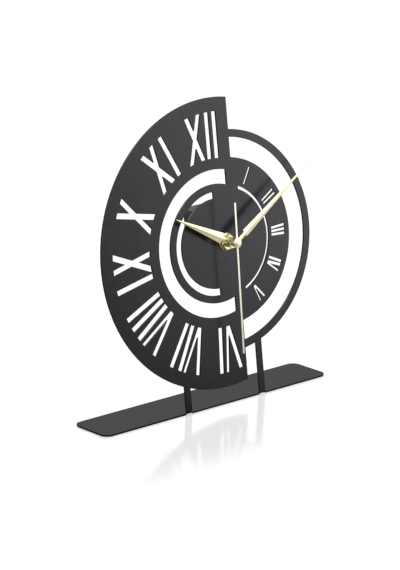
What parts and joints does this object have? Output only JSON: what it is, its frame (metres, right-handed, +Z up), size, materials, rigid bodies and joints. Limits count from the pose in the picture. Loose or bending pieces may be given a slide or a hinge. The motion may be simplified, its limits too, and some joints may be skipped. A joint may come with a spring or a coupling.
{
  "type": "table clock",
  "caption": "Table clock: a cut-out half-disc dial and its flat base bent from one sheet, three hands, and a geared battery movement on the back.",
  "frame": {"origin": "centre of the flat underside of the base", "axes": "+X to the right as seen from the dial's front, +Y to the back, +Z up; the dial faces -Y and leans back 6 degrees"},
  "size_m": [0.23, 0.0505, 0.2422],
  "materials": {
    "black_coat": "satin powder coat",
    "gold_hand": "polished, pale gold",
    "brass": "polished",
    "rubber": "matt",
    "case_plastic": "glossy moulded",
    "gear_plastic": "moulded",
    "bridge_plastic": "moulded",
    "steel": "fine ground",
    "spring_steel": "bright",
    "magnet": "sintered",
    "stator_steel": "blanked",
    "bobbin_plastic": "moulded",
    "copper_wire": "enamelled copper wire",
    "board": "solder resist",
    "resin": "drop of resin",
    "crystal_can": "drawn can",
    "contact_metal": "nickel plated",
    "battery_metal": "drawn steel can",
    "battery_film": "printed film without words",
    "knob_plastic": "moulded"
  },
  "bodies": {
    "stand": {"dial_stand": "black_coat", "rubber_gasket": "rubber", "brass_washer": "brass", "hex_nut": "brass", "threaded_bushing": "brass", "front_case": "case_plastic", "rear_case": "case_plastic", "bridge_plate": "bridge_plastic", "stator_plate": "stator_steel", "coil_core": "stator_steel", "coil_bobbin": "bobbin_plastic", "coil_winding": "copper_wire", "circuit_board": "board", "timing_chip": "resin", "quartz_crystal": "crystal_can", "plus_contact": "contact_metal", "minus_contact": "contact_metal"},
    "minute": {"minute_arbor": "brass", "minute_hand": "gold_hand", "clutch_spring": "spring_steel"},
    "hour": {"hour_wheel": "gear_plastic", "hour_hand": "gold_hand"},
    "motion": {"minute_wheel": "gear_plastic"},
    "setting": {"setting_shaft": "gear_plastic", "setting_knob": "knob_plastic"},
    "second": {"second_wheel": "gear_plastic", "second_arbor": "steel", "second_hand": "gold_hand", "second_hand_cap": "gold_hand"},
    "third": {"third_wheel": "gear_plastic"},
    "centre": {"centre_wheel": "gear_plastic"},
    "intermediate": {"intermediate_wheel": "gear_plastic"},
    "rotor": {"rotor_pinion": "gear_plastic", "rotor_magnet": "magnet"},
    "battery": {"battery_can": "battery_metal", "battery_sleeve": "battery_film"}
  },
  "joints": [
    {"name": "minute_spin", "type": "hinge", "parent": "stand", "child": "minute", "pos_m": [0.0194, -0.00707, 0.1278], "axis": [0, 0.9945, -0.1045], "continuous": true},
    {"name": "hour_spin", "type": "hinge", "parent": "stand", "child": "hour", "pos_m": [0.0194, -0.00707, 0.1278], "axis": [0, 0.9945, -0.1045], "continuous": true},
    {"name": "minute_wheel_spin", "type": "hinge", "parent": "stand", "child": "motion", "pos_m": [0.02762, -0.00019, 0.12532], "axis": [0, 0.9945, -0.1045], "continuous": true},
    {"name": "setting_spin", "type": "hinge", "parent": "stand", "child": "setting", "pos_m": [0.03589, 0.00683, 0.12605], "axis": [0, 0.9945, -0.1045], "continuous": true},
    {"name": "second_spin", "type": "hinge", "parent": "stand", "child": "second", "pos_m": [0.0194, -0.00707, 0.1278], "axis": [0, 0.9945, -0.1045], "continuous": true},
    {"name": "third_spin", "type": "hinge", "parent": "stand", "child": "third", "pos_m": [0.02467, 0.00463, 0.13575], "axis": [0, 0.9945, -0.1045], "continuous": true},
    {"name": "centre_spin", "type": "hinge", "parent": "stand", "child": "centre", "pos_m": [0.0194, 0.00168, 0.12688], "axis": [0, 0.9945, -0.1045], "continuous": true},
    {"name": "intermediate_spin", "type": "hinge", "parent": "stand", "child": "intermediate", "pos_m": [0.01246, 0.00772, 0.13456], "axis": [0, 0.9945, -0.1045], "continuous": true},
    {"name": "rotor_spin", "type": "hinge", "parent": "stand", "child": "rotor", "pos_m": [0.00672, 0.00531, 0.13078], "axis": [0, 0.9945, -0.1045], "continuous": true},
    {"name": "battery_slide", "type": "slide", "parent": "stand", "child": "battery", "axis": [0, 0.9945, -0.1045], "range_m": [0, 0.02]}
  ],
  "couplings": [
    {"joint": "hour_spin", "follows": "minute_spin", "ratio": 0.083333},
    {"joint": "minute_wheel_spin", "follows": "minute_spin", "ratio": -0.33333},
    {"joint": "setting_spin", "follows": "minute_spin", "ratio": 1},
    {"joint": "third_spin", "follows": "second_spin", "ratio": -0.13333},
    {"joint": "centre_spin", "follows": "second_spin", "ratio": 0.016667},
    {"joint": "intermediate_spin", "follows": "second_spin", "ratio": -5},
    {"joint": "rotor_spin", "follows": "second_spin", "ratio": 30}
  ]
}
